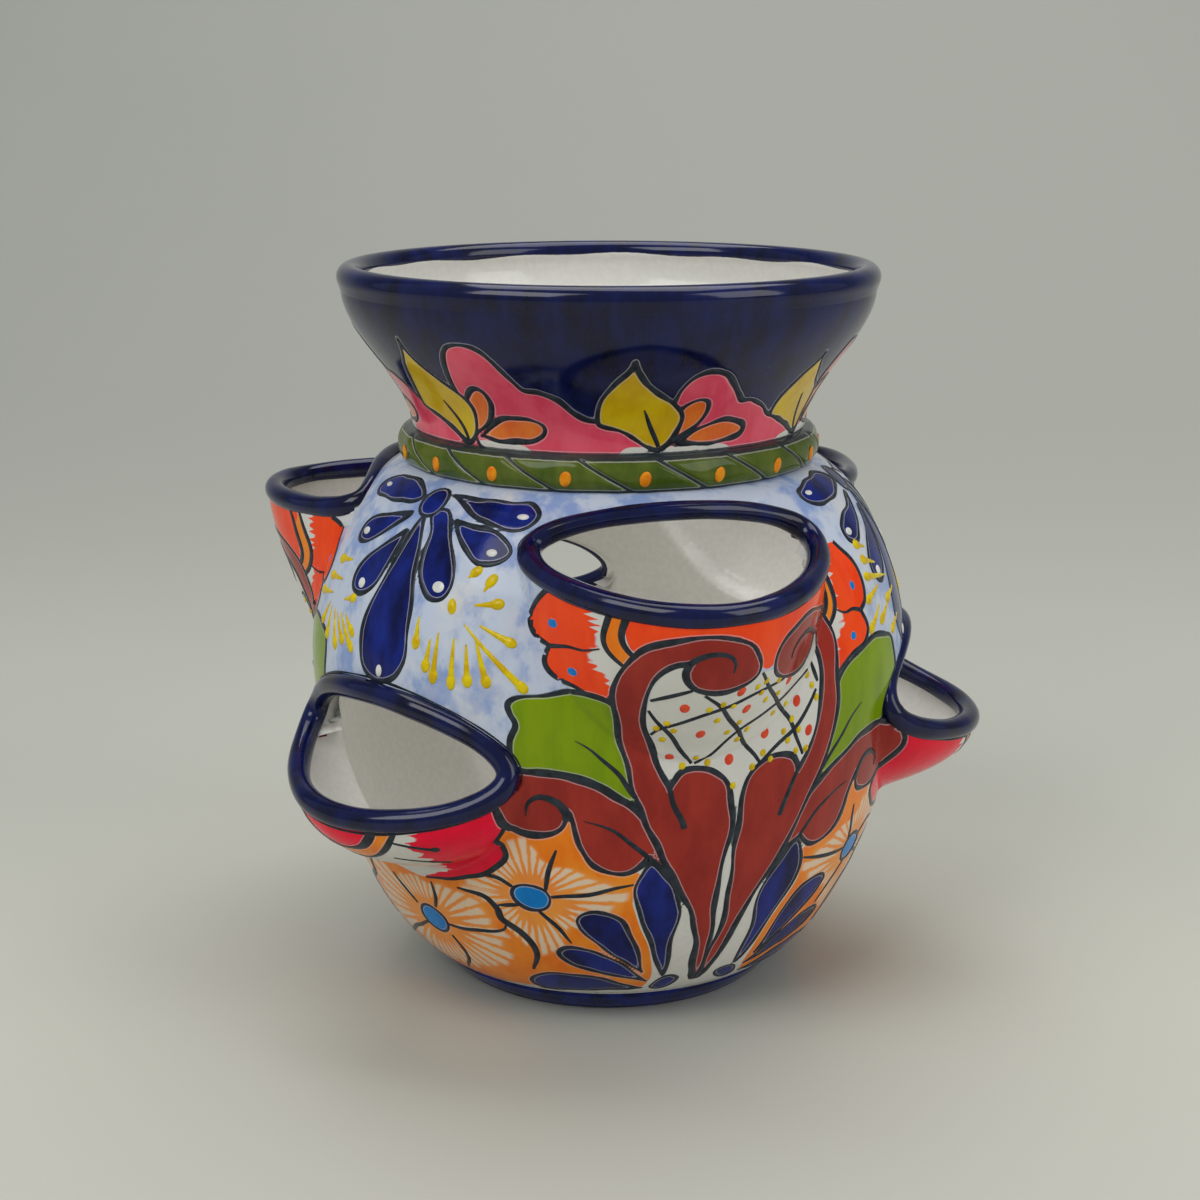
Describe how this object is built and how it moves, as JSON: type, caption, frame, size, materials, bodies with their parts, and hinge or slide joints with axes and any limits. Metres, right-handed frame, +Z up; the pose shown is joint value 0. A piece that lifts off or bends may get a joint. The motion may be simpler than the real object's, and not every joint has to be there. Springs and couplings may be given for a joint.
{
  "type": "strawberry jar planter",
  "caption": "Round glazed ceramic strawberry jar with a flared collar, a rope band round the neck and two staggered rows of lipped planting pockets.",
  "frame": {"origin": "centre of the drain hole in the plane that the jar stands on", "axes": "+Z up the jar's axis; -Y towards the viewer of the picture, and +X to that viewer's right"},
  "size_m": [0.2916, 0.2811, 0.2807],
  "materials": {
    "painted_glaze": "gloss, hand painted",
    "cobalt_glaze": "gloss",
    "olive_glaze": "gloss"
  },
  "bodies": {
    "root": {"base_disc": "cobalt_glaze", "jar_body": "painted_glaze", "rope_band": "olive_glaze", "collar": "cobalt_glaze", "mouth_rim": "cobalt_glaze", "upper_pocket_1": "painted_glaze", "upper_pocket_2": "painted_glaze", "upper_pocket_3": "painted_glaze", "lower_pocket_1": "painted_glaze", "lower_pocket_2": "painted_glaze", "lower_pocket_3": "painted_glaze", "upper_lip_1": "cobalt_glaze", "upper_lip_2": "cobalt_glaze", "upper_lip_3": "cobalt_glaze", "lower_lip_1": "cobalt_glaze", "lower_lip_2": "cobalt_glaze", "lower_lip_3": "cobalt_glaze"}
  },
  "joints": []
}
